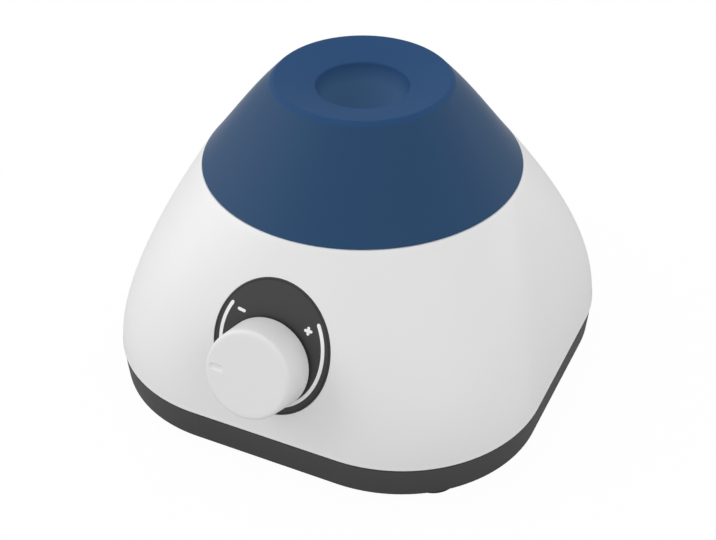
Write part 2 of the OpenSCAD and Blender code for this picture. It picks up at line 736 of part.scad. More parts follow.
module cup_pad() color("steelblue") on_crank() rotate_extrude() polygon(concat(
    arc(0, bowl_centre_z, bowl_sphere_r, -90, -asin((bowl_centre_z - bowl_rim_z) / bowl_sphere_r), 14),
    [[rim_r - rim_round, rim_z - rim_round * funnel_slope], [rim_r - 0.3 * rim_round, rim_z - touch],
        [rim_r + 0.2 * rim_round, rim_z - 0.4 * rim_round],
        [rim_r + pad_h * flank, pad_z], [carrier_r + pad_step, pad_z],
        [carrier_r + pad_step, under_funnel(carrier_r + pad_step)], [under_r, under_funnel(under_r)]],
    arc(0, bowl_centre_z, under_sphere_r,
        -asin((bowl_centre_z - under_funnel(under_r)) / under_sphere_r), -90, 14)));

module cup_carrier() color("gainsboro") on_crank() difference() {
    union() {
        translate([0, 0, bearing_z]) cylinder(r = bearing_r + carrier_wall, h = carrier_boss_h);
        intersection() {
            translate([0, 0, bowl_centre_z]) sphere(under_sphere_r + carrier_t);
            translate([0, 0, bearing_z + bearing_h + 1])
                cylinder(r = rim_r, h = under_funnel(under_r) - bearing_z - bearing_h - 1);
        }
        rotate_extrude() polygon([[under_r - cut, under_funnel(under_r - cut) - carrier_t],
            [carrier_r, under_funnel(carrier_r) - carrier_t],
            [carrier_r, under_funnel(carrier_r)], [under_r - cut, under_funnel(under_r - cut)]]);
        rib_in = bearing_r + carrier_wall + 1;
        for (turn = [0:60:300]) rotate(turn) translate([0, carrier_rib_t / 2, 0]) rotate([90, 0, 0])
            linear_extrude(carrier_rib_t)
                polygon([[bearing_r + 1, bearing_z + 2], [rib_in, bearing_z + 2],
                    [carrier_r - 1, under_funnel(carrier_r) - carrier_t - 1],
                    [carrier_r - 1, under_funnel(carrier_r) - carrier_t / 2],
                    [rib_in, under_funnel(rib_in) - carrier_t / 2]]);
    }
    translate([0, 0, bearing_z - cut]) cylinder(r = bearing_r + touch, h = bearing_h + cut);
    translate([0, 0, bearing_z])
        cylinder(r = bearing_r - race_t - pilot_gap, h = pin_top_z + pin_end_gap - bearing_z);
    translate([0, 0, bowl_centre_z]) sphere(under_sphere_r + touch);
}

skirt_foot_h = 4.9;     // depth of the boot's foot below the shell's top
skirt_bead = 0.7;       // how far the foot's bead grips under the shell's lip
skirt_gap = 0.1;
skirt_foot_w = 2.2;
skirt_foot_r = top_hole_r - skirt_foot_w;
skirt_step = 1.4;       // height of the cone's solid root
skirt_r = shell_top_r - skirt_gap;

module boot_skirt() color("slateblue") difference() {
    union() {
        loft([round_ring(skirt_r, 0, axis_y, boot_z),
            round_ring(rim_r + (pad_h + free_gap) * flank, crank_x, axis_y + crank_y, pad_z - free_gap)]);
        on_axis() {
            translate([0, 0, boot_z - skirt_foot_h])
                cylinder(r = top_hole_r - skirt_gap, h = skirt_foot_h + skirt_gap);
            translate([0, 0, boot_z - skirt_foot_h])
                cylinder(r = top_hole_r + skirt_bead, h = skirt_foot_h - lip_t - skirt_gap);
        }
    }
    loft([round_ring(skirt_r - skin_w - skirt_step * flank, 0, axis_y, boot_z + skirt_step),
        round_ring(rim_r + pad_h * flank - skin_w, crank_x, axis_y + crank_y, pad_z)]);
    on_axis() translate([0, 0, boot_z - skirt_foot_h - cut])
        cylinder(r = skirt_foot_r, h = skirt_foot_h + skirt_step + 2 * cut);
}

ring_r = top_hole_r + 0.6;
ring_in = 4;            // how far the ring's bore is inside the shell's top hole
ring_seat_in = 2;
ring_t = 2;
ear_in = 1.4;

module boot_clamp_ring() color("gainsboro") difference() {
    union() {
        on_axis() translate([0, 0, clamp_ring_z]) cylinder(r = ring_r, h = ring_t);
        on_axis() translate([0, 0, clamp_ring_z])
            cylinder(r = ring_r - 2 * skirt_gap - touch,
                h = boot_z - skirt_foot_h - skirt_gap - clamp_ring_z);
        clamp_places() translate([0, 0, clamp_ring_z])
            cylinder(r = clamp_boss_r - skirt_gap, h = clamp_ear_t);
        for (turn = [45:90:315]) on_axis() rotate(turn)
            translate([top_hole_r - ear_in, -clamp_boss_r + skirt_gap, clamp_ring_z])
                cube([clamp_at - top_hole_r + ear_in, 2 * (clamp_boss_r - skirt_gap), clamp_ear_t]);
    }
    on_axis() translate([0, 0, clamp_ring_z - cut]) cylinder(r = top_hole_r - ring_in, h = ring_t + 2 * cut);
    on_axis() translate([0, 0, clamp_ring_z + ring_t])
        cylinder(r = top_hole_r - ring_seat_in, h = clamp_drop);
    clamp_places() translate([0, 0, clamp_ring_z - cut])
        cylinder(r = clamp_screw_r + 2 * skirt_gap, h = clamp_ear_t + 2 * cut);
}

clamp_head_h = 1.3;
clamp_screw_l = 6;

module clamp_screws() color("silver") clamp_places() translate([0, 0, clamp_ring_z - clamp_head_h])
    pan_screw(2 * clamp_screw_r, clamp_head_h, clamp_screw_r, clamp_screw_l);

// --- ballast and control board ---

ballast_t = 3;
ballast_gap = 4.9;      // from the ballast plate to the tray's wall
post_gap = 0.4;         // clearance of the ballast plate round the tray's posts

module ballast_plate() color("slategray") difference() {
    on_axis() translate([0, 0, floor_z]) linear_extrude(ballast_t)
        rounded_square(cavity_half - ballast_gap, cavity_corner - ballast_gap);
    on_axis() translate([0, 0, floor_z - cut]) cylinder(r = can_r + ballast_t, h = ballast_t + 2 * cut);
    at_feet() translate([0, 0, floor_z - cut]) cylinder(r = case_post_r + post_gap, h = ballast_t + 2 * cut);
    at_legs() translate([0, 0, floor_z - cut]) cylinder(r = frame_post_r + post_gap, h = ballast_t + 2 * cut);
    at_board_holes() translate([0, 0, floor_z - cut])
        cylinder(r = board_post_r + post_gap, h = ballast_t + 2 * cut);
}

module control_board() color("seagreen") difference() {
    translate([board_left, axis_y - board_l / 2, board_z]) cube([board_w, board_l, board_t]);
    at_board_holes() translate([0, 0, board_z - cut]) cylinder(r = board_hole_r, h = board_t + 2 * cut);
}

board_head_h = 1.2;

module board_screws() color("silver") at_board_holes() translate([0, 0, board_z + board_t + board_head_h])
    mirror([0, 0, 1]) pan_screw(1.9, board_head_h, board_screw_r, board_screw_l);

board_top_z = board_z + board_t;
cap_r = 4;
cap_h = 11.8;
cap_bead = 0.3;

module smoothing_capacitor() color("navy") translate([board_x - cap_r / 2, axis_y + 9, board_top_z])
    rotate_extrude() polygon([[0, 0], [cap_r, 0], [cap_r, cap_r * 0.3], [cap_r - cap_bead, cap_r * 0.4],
        [cap_r, cap_r / 2], [cap_r, cap_h - cap_bead], [cap_r - cap_bead, cap_h], [0, cap_h]]);

chip_w = 10;            // the power transistor's body
chip_t = 4.4;
chip_h = 9;
tab_top_t = 1.3;
tab_top_h = 5;
pin_pitch = 2.54;
pin_w = 0.8;
pin_h = 3;
chip_x = board_x + 3;
chip_y = axis_y - 10;

module power_transistor() color("black") translate([chip_x, chip_y, board_top_z]) {
    translate([-chip_w / 2, -chip_t / 2, pin_h]) cube([chip_w, chip_t, chip_h]);
    translate([-chip_w / 2, chip_t / 2 - tab_top_t, pin_h + chip_h - pilot_gap])
        cube([chip_w, tab_top_t, tab_top_h]);
    for (k = [-1:1]) translate([k * pin_pitch - pin_w / 2, -pin_w / 2, 0])
        cube([pin_w, pin_w, pin_h + pilot_gap]);
}

sink_w = 14;
sink_h = 18;
sink_base_t = 1.6;
sink_fin_l = 6;
sink_fin_t = 1.2;
sink_pitch = 2.4;

module heat_sink() color("silver") translate([chip_x - sink_w / 2, chip_y + chip_t / 2, board_top_z]) {
    translate([0, touch, 0]) cube([sink_w, sink_base_t, sink_h]);
    for (x = [0:sink_pitch:sink_w - sink_fin_t]) translate([x, sink_base_t - cut, 0])
        cube([sink_fin_t, sink_fin_l, sink_h]);
}

plug_w = 6.5;
plug_l = 5;
plug_h = 6;
plug_wall = 0.8;
plug_floor = 1.2;
plug_x = board_x + 0.75;
plug_ys = [-18, 2, 18]; // the pot's, the motor's and the inlet's connectors, from the middle of the board

module board_connectors() color("white") for (y = plug_ys) translate([plug_x, axis_y + y, board_top_z])
    difference() {
        translate([-plug_w / 2, -plug_l / 2, 0]) cube([plug_w, plug_l, plug_h]);
        translate([-plug_w / 2 + plug_wall, -plug_l / 2 + plug_wall, plug_floor])
            cube([plug_w - 2 * plug_wall, plug_l - 2 * plug_wall, plug_h]);
    }

control_chip_l = 5;
control_chip_w = 4;
control_chip_t = 1.8;

module control_chip() color("black")
    translate([board_left + 1.2, axis_y - 4 - control_chip_l / 2, board_top_z + free_gap + pilot_gap])
        cube([control_chip_w, control_chip_l, control_chip_t]);

// --- power inlet ---

jack_flange_r = 5.5;
jack_flange_t = 1.4;
jack_l = 11;
jack_mouth_r = 2.9;
jack_bore_l = 8.5;
jack_pin_r = 1;
jack_pin_l = 9.6;
jack_tag_at = 1.8;
jack_tag_w = 1.6;
jack_tag_t = 0.5;
jack_tag_l = 4;
jack_nut_r = 6.3;
jack_nut_t = 2;

module dc_jack() color("black") on_back() {
    difference() {
        union() {
            cylinder(r = jack_flange_r, h = jack_flange_t);
            translate([0, 0, -jack_l]) cylinder(r = jack_r, h = jack_l + cut);
        }
        translate([0, 0, -jack_bore_l]) cylinder(r = jack_mouth_r, h = jack_bore_l + jack_flange_t + cut);
    }
    translate([0, 0, -jack_bore_l - cut]) cylinder(r = jack_pin_r, h = jack_pin_l);
    for (x = [-1, 1]) translate([x * jack_tag_at - jack_tag_w / 2, -jack_tag_t / 2, -jack_l - jack_tag_l])
        cube([jack_tag_w, jack_tag_t, jack_tag_l + cut]);
}

module jack_nut() color("silver") on_back() translate([0, 0, -jack_wall - jack_nut_t]) difference() {
    cylinder(r = jack_nut_r, h = jack_nut_t, $fn = 6);
    translate([0, 0, -cut]) cylinder(r = jack_r + touch, h = jack_nut_t + 2 * cut);
}

// --- leads ---

lead_r = 0.55;
lead_sides = 8;
lead_steps = 3;         // rings between two of a route's points
lead_pitch = 1.5;
plug_seat_z = board_top_z + plug_floor + pilot_gap;
plug_top_z = board_top_z + plug_h;

function unit(v) = v / norm(v);
// A smooth run through a route's points
function smooth_run(p) = let (last = len(p) - 1) concat([for (k = [0:last - 1], i = [0:lead_steps - 1])
    let (a = p[max(k - 1, 0)], b = p[k], c = p[k + 1], d = p[min(k + 2, last)], t = i / lead_steps)
    (2 * b + (c - a) * t + (2 * a - 5 * b + 4 * c - d) * t * t + (3 * b - a - 3 * c + d) * t * t * t) / 2],
    [p[last]]);

// A wire along a route; across is a direction that the route never takes
module wire(route, across) {
    p = smooth_run(route);
    loft([for (k = [0:len(p) - 1])
        let (ahead = unit(p[min(k + 1, len(p) - 1)] - p[max(k - 1, 0)]),
            side = unit(cross(ahead, across)), over = cross(side, ahead))
        [for (i = [0:lead_sides - 1]) let (turn = i * 360 / lead_sides)
            p[k] + lead_r * (cos(turn) * over + sin(turn) * side)]]);
}

// Points between a wire's two ends: shares of the way across and along, the height over the
// tray's floor, and how far wire k of the bunch keeps aside in each direction
function way(a, b, k, points) = [for (p = points)
    [a[0] + p[0] * (b[0] - a[0]) + k * p[3], a[1] + p[1] * (b[1] - a[1]) + k * p[4], floor_z + p[2]]];

// Two wires from the inlet's tags, behind the frame's leg, down into their connector
module jack_leads() color("firebrick") on_axis() {
    a = [0, jack_face_y - jack_l - jack_tag_l, seam_z + jack_z];
    b = [plug_x, plug_ys[2], plug_seat_z];
    for (k = [-1, 1]) wire(concat(
        [a + [k * jack_tag_at, -pilot_gap, 0], a + [k * jack_tag_at, -lead_pitch, 0]],
        way(a, b, k, [[0.085, 0.243, 15.4, 1.5, -0.5], [0.284, 0.37, 16.2, 0, -0.8],
            [0.51, 0.433, 16.7, 0, -0.8], [0.738, 0.56, 17.2, 0, -0.8],
            [0.908, 0.78, 17.2, 0.6, -0.8], [0.977, 0.962, 15.7, 0.9, -0.4]]),
        [[b[0] + 0.8 * k, b[1], plug_top_z - 1], b + [0.8 * k, 0, 0]]), [0.3, 1, 0.6]);
}

// Two wires from the motor's tabs, over the ballast plate, down into their connector
module motor_leads() color("firebrick") on_axis() {
    b = [plug_x, plug_ys[1] - lead_pitch / 2, plug_seat_z];
    near = [[-tab_at - tab_t / 2 - pilot_gap, 0, floor_z + 2.2], [-12.8, 0.6, floor_z + 2.2]];
    under = [[tab_at - tab_t / 2 - pilot_gap, 0, floor_z + 1.8], [7.9, 0.1, floor_z + 1.7],
        [6, 1.8, floor_z + 1.3], [2, 3, floor_z + 1.2], [-4, 3, floor_z + 1.2],
        [-9, 2.9, floor_z + 1.3], [-12.8, 2.7, floor_z + 2.2]];
    for (k = [0, 1]) wire(concat(k == 0 ? near : under,
        way([0, 0, 0], b, k, [[0.431, 1, 3.4, 0, lead_pitch], [0.511, 1, 4.6, 0, lead_pitch],
            [0.624, 1, 6.7, 0, lead_pitch], [0.738, 1, 10.2, 0, lead_pitch],
            [0.851, 1, 15, 0, lead_pitch], [0.95, 1, 16, 0, lead_pitch]]),
        [[b[0], b[1] + lead_pitch * k, plug_top_z + 0.6], b + [0, lead_pitch * k, 0]]), [0, 1, 0]);
}

// Three wires from the control's tags, inside the front, down into their connector
module pot_leads() color("firebrick") on_axis() {
    tag_v = knob_v - pot_r - pot_tag_l;
    tag_off = pot_tag_off + pot_tag_t / 2;
    up = [0, sin(wall_tilt), cos(wall_tilt)];
    a = [0, -body_half, seam_z] + tag_v * up + tag_off * [0, -cos(wall_tilt), sin(wall_tilt)];
    b = [plug_x, plug_ys[0], plug_seat_z];
    for (k = [-1:1]) wire(concat(
        [a + [k * pot_tag_pitch, 0, 0] - pilot_gap * up, a + [k * pot_tag_pitch, 0, 0] - 2 * up],
        way(a, b, k, [[0.023, 0.04, 6, 4.2, 0], [0.128, 0.146, 5.8, 2.4, 0.3],
            [0.34, 0.3, 6, 1.2, 0.9], [0.567, 0.49, 7.2, 1, 1], [0.766, 0.717, 11.2, 1, 1],
            [0.908, 0.887, 15.4, 1.3, 0.9], [0.977, 0.966, 15.5, 1.6, 0.4]]),
        [[b[0] + lead_pitch * k, b[1] - 0.1, plug_top_z - 1], b + [lead_pitch * k, 0, 0]]), [1, 1, 0]);
}

upper_shell();
base_tray();
rubber_feet();
case_screws();
dial_plate();
pot_body();
pot_washer();
pot_nut();
pot_shaft();
speed_knob();
motor_can();
motor_magnets();
motor_endcap();
motor_armature();
motor_shaft();
motor_frame();
motor_screws();
frame_grommets();
frame_screws();
eccentric_hub();
hub_grub_screw();
crank_pin();
pin_clip();
bearing_inner_race();
bearing_balls();
bearing_outer_race();
cup_carrier();
cup_pad();
boot_skirt();
boot_clamp_ring();
clamp_screws();
ballast_plate();
control_board();
board_screws();
smoothing_capacitor();
power_transistor();
heat_sink();
board_connectors();
control_chip();
dc_jack();
jack_nut();
jack_leads();
motor_leads();
pot_leads();
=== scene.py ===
import json
import math

import bpy
from mathutils import Matrix, Vector


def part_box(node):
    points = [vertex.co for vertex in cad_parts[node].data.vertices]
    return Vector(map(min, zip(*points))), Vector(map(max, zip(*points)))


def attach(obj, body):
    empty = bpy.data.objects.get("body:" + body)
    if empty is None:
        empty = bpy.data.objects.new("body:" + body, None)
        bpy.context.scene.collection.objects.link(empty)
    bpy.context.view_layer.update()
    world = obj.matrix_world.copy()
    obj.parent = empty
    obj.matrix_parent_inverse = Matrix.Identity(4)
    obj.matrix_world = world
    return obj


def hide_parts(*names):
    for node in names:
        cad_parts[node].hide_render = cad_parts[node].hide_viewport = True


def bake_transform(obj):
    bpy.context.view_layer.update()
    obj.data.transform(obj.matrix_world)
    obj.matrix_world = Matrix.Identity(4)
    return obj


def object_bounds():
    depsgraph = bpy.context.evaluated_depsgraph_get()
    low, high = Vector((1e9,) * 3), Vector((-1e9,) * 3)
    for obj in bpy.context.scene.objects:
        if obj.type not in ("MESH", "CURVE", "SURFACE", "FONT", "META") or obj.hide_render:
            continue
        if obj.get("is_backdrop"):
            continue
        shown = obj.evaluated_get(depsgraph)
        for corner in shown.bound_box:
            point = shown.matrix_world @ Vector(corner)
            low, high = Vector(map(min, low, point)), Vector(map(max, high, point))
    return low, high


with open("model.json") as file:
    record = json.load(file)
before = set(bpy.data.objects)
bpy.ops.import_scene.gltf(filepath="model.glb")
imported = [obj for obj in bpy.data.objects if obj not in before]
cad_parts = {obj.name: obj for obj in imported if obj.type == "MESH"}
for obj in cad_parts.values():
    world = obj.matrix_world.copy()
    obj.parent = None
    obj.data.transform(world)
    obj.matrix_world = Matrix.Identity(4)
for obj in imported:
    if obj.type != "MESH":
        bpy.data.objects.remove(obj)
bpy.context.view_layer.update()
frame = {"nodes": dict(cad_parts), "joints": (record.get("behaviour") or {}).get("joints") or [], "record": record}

# --- Base tray ---
# The dark grey tray under the machine is one ABS moulding with a slight draft, a rounded foot
# edge and a lip that centres the shell. Posts inside it take the case and frame screws, whose
# heads sit in pockets in its underside.

mm = 0.001
joint = {j["name"]: j for j in frame["joints"]}
axis_y = joint["rotor_spin"]["pos_m"][1]
body_half = 53.3 * mm
body_corner = 35.1 * mm
shell_wall = 2.4 * mm
tray_bottom = 1.7 * mm
seam_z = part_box("upper_shell")[0].z
around = 256  # points in each ring of the body


def select_only(piece):
    """Leaves one piece selected and active."""
    bpy.ops.object.select_all(action="DESELECT")
    piece.select_set(True)
    bpy.context.view_layer.objects.active = piece


def round_square(half, corner, z):
    """Points on a square with round corners, in even directions about the motor's axis."""
    points = []
    middle = half - corner
    for k in range(around):
        turn = 2 * math.pi * k / around
        side, ahead = abs(math.cos(turn)), abs(math.sin(turn))
        low, high = min(side, ahead), max(side, ahead)
        if low * half <= middle * high:
            reach = half / high
        else:
            along = middle * (low + high)
            reach = along + math.sqrt(along * along - 2 * middle * middle + corner * corner)
        points.append(Vector((reach * math.cos(turn), axis_y + reach * math.sin(turn), z)))
    return points


def circle(radius, z, centre=(0, 0), count=None):
    """Points on a level circle."""
    count = count or around
    turns = [2 * math.pi * k / count for k in range(count)]
    return [Vector((centre[0] + radius * math.cos(t), centre[1] + radius * math.sin(t), z))
            for t in turns]


def pick(piece, rings, count):
    """Opens the piece for editing with whole rings of its points selected."""
    select_only(piece)
    bpy.ops.object.mode_set(mode="EDIT")
    bpy.ops.mesh.select_mode(type="VERT")
    bpy.ops.mesh.select_all(action="DESELECT")
    bpy.ops.object.mode_set(mode="OBJECT")
    for ring in rings:
        for k in range(count):
            piece.data.vertices[ring * count + k].select = True
    bpy.ops.object.mode_set(mode="EDIT")


def moulding(name, rings, ends="fill"):
    """A closed skin extruded from ring to ring, with its ends filled or joined to each other."""
    count = len(rings[0])
    bpy.ops.object.select_all(action="DESELECT")
    bpy.ops.mesh.primitive_circle_add(vertices=count, radius=body_half)
    piece = bpy.context.object
    piece.name = name
    bpy.ops.object.mode_set(mode="EDIT")
    bpy.ops.mesh.select_all(action="SELECT")
    for _ in rings[1:]:
        bpy.ops.mesh.extrude_edges_move()
    bpy.ops.object.mode_set(mode="OBJECT")
    for spot, point in zip(piece.data.vertices, [p for ring in rings for p in ring]):
        spot.co = point
    last = len(rings) - 1
    if ends == "join":
        pick(piece, (0, last), count)
        bpy.ops.mesh.bridge_edge_loops()
    else:
        for ring in (last, 0):
            pick(piece, (ring,), count)
            bpy.ops.mesh.edge_face_add()
            bpy.ops.object.mode_set(mode="OBJECT")
        bpy.ops.object.mode_set(mode="EDIT")
    bpy.ops.mesh.select_all(action="SELECT")
    bpy.ops.mesh.normals_make_consistent(inside=False)
    bpy.ops.object.mode_set(mode="OBJECT")
    return piece


def combine(piece, tool, how):
    """Cuts the tool out of the piece, or adds it, and removes the tool."""
    select_only(piece)
    step = piece.modifiers.new(how, "BOOLEAN")
    step.operation = how
    step.solver = "EXACT"
    step.object = tool
    bpy.ops.object.modifier_apply(modifier=step.name)
    bpy.data.objects.remove(tool)


def rod(radius, low, high, x=0.0, y=0.0, sides=48):
    """An upright cylinder."""
    bpy.ops.object.select_all(action="DESELECT")
    bpy.ops.mesh.primitive_cylinder_add(vertices=sides, radius=radius, depth=high - low)
    piece = bpy.context.object
    piece.data.transform(Matrix.Translation((x, y, (low + high) / 2)))
    return piece


def smooth(piece, degrees=30):
    """Soft shading, except over sharp edges."""
    select_only(piece)
    bpy.ops.object.shade_smooth_by_angle(angle=math.radians(degrees))


def linear(red, green, blue):
    """A colour seen on a screen, from 0 to 255, as the shader's own."""
    screen = [v / 255 for v in (red, green, blue)]
    return [v / 12.92 if v <= 0.04045 else ((v + 0.055) / 1.055) ** 2.4 for v in screen] + [1]


def moulded(name, colour, rough, grain=0.4, bump=0.05, change=0.04):
    """Moulded plastic or rubber: a fine grain, and slow drifts of tone and gloss."""
    finish = bpy.data.materials.new(name)
    finish.use_nodes = True
    nodes, links = finish.node_tree.nodes, finish.node_tree.links
    shader = nodes["Principled BSDF"]
    place = nodes.new("ShaderNodeTexCoord")
    slow = nodes.new("ShaderNodeTexNoise")
    slow.inputs["Scale"].default_value = 45
    slow.inputs["Detail"].default_value = 3
    fine = nodes.new("ShaderNodeTexNoise")
    fine.inputs["Scale"].default_value = 1 / (grain * mm)
    fine.inputs["Detail"].default_value = 4
    for noise in (slow, fine):
        links.new(place.outputs["Object"], noise.inputs["Vector"])
    tone = nodes.new("ShaderNodeMix")
    tone.data_type = "RGBA"
    tone.inputs["A"].default_value = [v * (1 - change) for v in colour[:3]] + [1]
    tone.inputs["B"].default_value = [min(1, v * (1 + change)) for v in colour[:3]] + [1]
    links.new(slow.outputs["Fac"], tone.inputs["Factor"])
    links.new(tone.outputs["Result"], shader.inputs["Base Color"])
    gloss = nodes.new("ShaderNodeMapRange")
    gloss.inputs["To Min"].default_value = rough - 0.06
    gloss.inputs["To Max"].default_value = rough + 0.06
    links.new(fine.outputs["Fac"], gloss.inputs["Value"])
    links.new(gloss.outputs["Result"], shader.inputs["Roughness"])
    relief = nodes.new("ShaderNodeBump")
    relief.inputs["Strength"].default_value = bump
    relief.inputs["Distance"].default_value = 0.1 * mm
    links.new(fine.outputs["Fac"], relief.inputs["Height"])
    links.new(relief.outputs["Normal"], shader.inputs["Normal"])
    return finish


def dress(piece, finish):
    """Gives a piece one finish."""
    piece.data.materials.clear()
    piece.data.materials.append(finish)


tray_floor = tray_bottom + 2 * mm
ledge_z, lip_top = seam_z - 0.25 * mm, seam_z + 1.6 * mm
tray_section = (
    (1.2 * mm, tray_bottom), (0.85 * mm, tray_bottom + 0.08 * mm),
    (0.62 * mm, tray_bottom + 0.32 * mm), (0.55 * mm, tray_bottom + 0.7 * mm),
    (0.3 * mm, (tray_bottom + seam_z) / 2), (0.12 * mm, seam_z - 0.7 * mm),
    (0.2 * mm, seam_z - 0.4 * mm), (0.5 * mm, ledge_z), (2.9 * mm, ledge_z),
    (2.9 * mm, lip_top - 0.2 * mm), (3.1 * mm, lip_top), (4.1 * mm, lip_top), (4.1 * mm, tray_floor))
tray = moulding("tray_moulding", [
    round_square(body_half - inset, body_corner - inset, z) for inset, z in tray_section])
leg_at, foot_x, foot_y = 19 * mm, 36 * mm, 39.4 * mm
leg_spots = [(x * leg_at, axis_y + y * leg_at) for x in (-1, 1) for y in (-1, 1)]
foot_spots = [(x * foot_x, axis_y + y * foot_y) for x in (-1, 1) for y in (-1, 1)]
post_r, post_low, post_top = 4.5 * mm, tray_bottom + 1 * mm, 11 * mm
pocket_r, pocket_top = 3.2 * mm, 5.2 * mm
recess_r, recess_top = 6.15 * mm, tray_bottom + 0.6 * mm
for x, y in leg_spots:
    combine(tray, rod(post_r, post_low, post_top, x, y), "UNION")
for x, y in leg_spots:
    combine(tray, rod(pocket_r, 0, pocket_top, x, y), "DIFFERENCE")
for x, y in foot_spots:
    combine(tray, rod(recess_r, 0, recess_top, x, y), "DIFFERENCE")
smooth(tray)
tray_grey = moulded("tray_grey", linear(62, 62, 63), 0.5, grain=0.35, bump=0.12)
dress(tray, tray_grey)
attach(tray, "housing")
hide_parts("base_tray")

# --- Rubber feet ---
# Four black rubber pads are pressed into round recesses over the case screws. Each is moulded
# with a rounded lower edge and a small dimple, and stands under the tray's corners.

foot_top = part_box("rubber_feet")[1].z
foot_profile = (  # radius and height in mm, from the dimple outwards and up
    (0.3, 0.4), (0.9, 0.35), (1.4, 0.12), (1.9, 0), (4.9, 0), (5.5, 0.12), (5.85, 0.4), (6, 0.9),
    (6, 1.8), (6, foot_top / mm))
foot_points = 64
foot_rubber = moulded("foot_rubber", linear(38, 38, 38), 0.62, grain=0.5, bump=0.2)
for number, spot in enumerate(foot_spots):
    foot = moulding(f"foot_{number + 1}", [
        circle(r * mm, z * mm, spot, foot_points) for r, z in foot_profile])
    smooth(foot)
    dress(foot, foot_rubber)
    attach(foot, "housing")
    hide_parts("rubber_feet")

# --- Frame screws ---
# Four zinc plated pan head screws hold the motor's frame through soft washers. Their heads show
# in the tray's pockets, each with a cross recess.


def metal(name, colour, rough, streak=(1, 1, 1), grain=0.6):
    """Bare or plated metal with fine tool marks."""
    finish = moulded(name, colour, rough, grain=grain, bump=0.15, change=0.06)
    nodes, links = finish.node_tree.nodes, finish.node_tree.links
    nodes["Principled BSDF"].inputs["Metallic"].default_value = 1
    stretch = nodes.new("ShaderNodeMapping")
    stretch.inputs["Scale"].default_value = streak
    place = next(n for n in nodes if n.type == "TEX_COORD")
    links.new(place.outputs["Object"], stretch.inputs["Vector"])
    for noise in [n for n in nodes if n.type == "TEX_NOISE"]:
        links.new(stretch.outputs["Vector"], noise.inputs["Vector"])
    return finish


screw_low, screw_top = [corner.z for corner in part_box("frame_screws")]
screw_profile = (  # radius and height over the head's face in mm
    (0.2, 0), (1.6, 0), (2.3, 0.12), (2.65, 0.4), (2.8, 0.9), (2.8, 2), (1.5, 2))
shank_r, screw_points = 1.5 * mm, 48
arm_l, arm_w, arm_t = 3 * mm, 0.75 * mm, 1.6 * mm
screw_steel = metal("screw_steel", linear(176, 178, 180), 0.34)
for number, spot in enumerate(leg_spots):
    rings = [circle(r * mm, screw_low + z * mm, spot, screw_points) for r, z in screw_profile]
    rings.append(circle(shank_r, screw_top, spot, screw_points))
    screw = moulding(f"frame_screw_{number + 1}", rings)
    for arm in ((arm_w, arm_l), (arm_l, arm_w)):
        bpy.ops.object.select_all(action="DESELECT")
        bpy.ops.mesh.primitive_cube_add(size=1)
        cross_arm = bpy.context.object
        cross_arm.data.transform(
            Matrix.Translation((*spot, screw_low)) @ Matrix.Diagonal((*arm, arm_t, 1)))
        combine(screw, cross_arm, "DIFFERENCE")
    smooth(screw)
    dress(screw, screw_steel)
    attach(screw, "housing")
    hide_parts("frame_screws")

# --- Works inside the housing ---
# The motor, its frame, the crank with its bearing, the board and the ballast plate are closed in.
# They keep their solids and take the finish of turned, plated, pressed or moulded parts.

steel_lines = (1, 1, 9)
inner_finish = {
    "screw_steel": screw_steel,
    "foot_rubber": foot_rubber,
    "plated_steel": metal("plated_steel", linear(198, 199, 200), 0.3),
    "shaft_steel": metal("shaft_steel", linear(190, 190, 192), 0.22, steel_lines),
    "bearing_steel": metal("bearing_steel", linear(205, 206, 208), 0.16, steel_lines),
    "lamination_steel": metal("lamination_steel", linear(150, 140, 130), 0.45, (1, 1, 30)),
    "hub_brass": metal("hub_brass", linear(212, 178, 104), 0.28, (1, 1, 8)),
    "ballast_steel": metal("ballast_steel", linear(126, 128, 130), 0.5),
    "sink_aluminium": metal("sink_aluminium", linear(200, 201, 203), 0.38, (1, 1, 0.1)),
    "magnet_ferrite": moulded("magnet_ferrite", linear(70, 70, 72), 0.6, bump=0.2),
    "pot_phenolic": moulded("pot_phenolic", linear(104, 74, 44), 0.4),
    "inner_black": moulded("inner_black", linear(40, 40, 41), 0.45),
    "inner_ivory": moulded("inner_ivory", linear(226, 222, 208), 0.45),
    "board_green": moulded("board_green", linear(30, 104, 58), 0.3, grain=1.2, change=0.12),
    "sleeve_navy": moulded("sleeve_navy", linear(42, 52, 100), 0.25),
    "connector_nylon": moulded("connector_nylon", linear(236, 232, 216), 0.4),
    "lead_red": moulded("lead_red", linear(170, 40, 36), 0.35),
}
slot_of = {s["node"]: s["material_slot"] for s in frame["record"]["subparts"]}
for name, node in frame["nodes"].items():
    if slot_of[name] in inner_finish:
        dress(node, inner_finish[slot_of[name]])

# --- Upper shell ---
# The white shell is one satin ABS moulding. Its seam is a square with round corners, its walls
# lean in with a slight bow, and its top edge is a circle round the boot. The front has a shallow
# oval seat for the dial plate, and the back a round pocket for the power inlet.

boot_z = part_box("upper_shell")[1].z
shell_h = boot_z - seam_z
top_r = 37.6 * mm
shell_bow = 2.57 * mm
shoulder_h = 15.7 * mm
top_hole_r = 34.4 * mm
lip_t = 2.4 * mm
root2 = math.sqrt(2)
seam_reach = root2 * body_half - (root2 - 1) * body_corner


def shell_share(height):
    """How far along the corner's curve a height over the seam lies, from 0 to 1."""
    bend, rise = shell_h - 2 * shoulder_h, 2 * shoulder_h
    return (math.sqrt(rise * rise + 4 * bend * height) - rise) / (2 * bend)


def shell_section(height):
    """Half width and corner radius of the shell's outside at a height over the seam."""
    t = height / shell_h
    half = body_half + t * (top_r - body_half) + 4 * shell_bow * t * (1 - t)
    s = shell_share(height)
    reach = seam_reach + s * s * (top_r - seam_reach)
    return half, (root2 * half - reach) / (root2 - 1)


def shell_ring(height, inset=0.0):
    """A ring on the shell's outside, or set in from it."""
    half, corner = shell_section(height)
    return round_square(half - inset, corner - inset, seam_z + height)


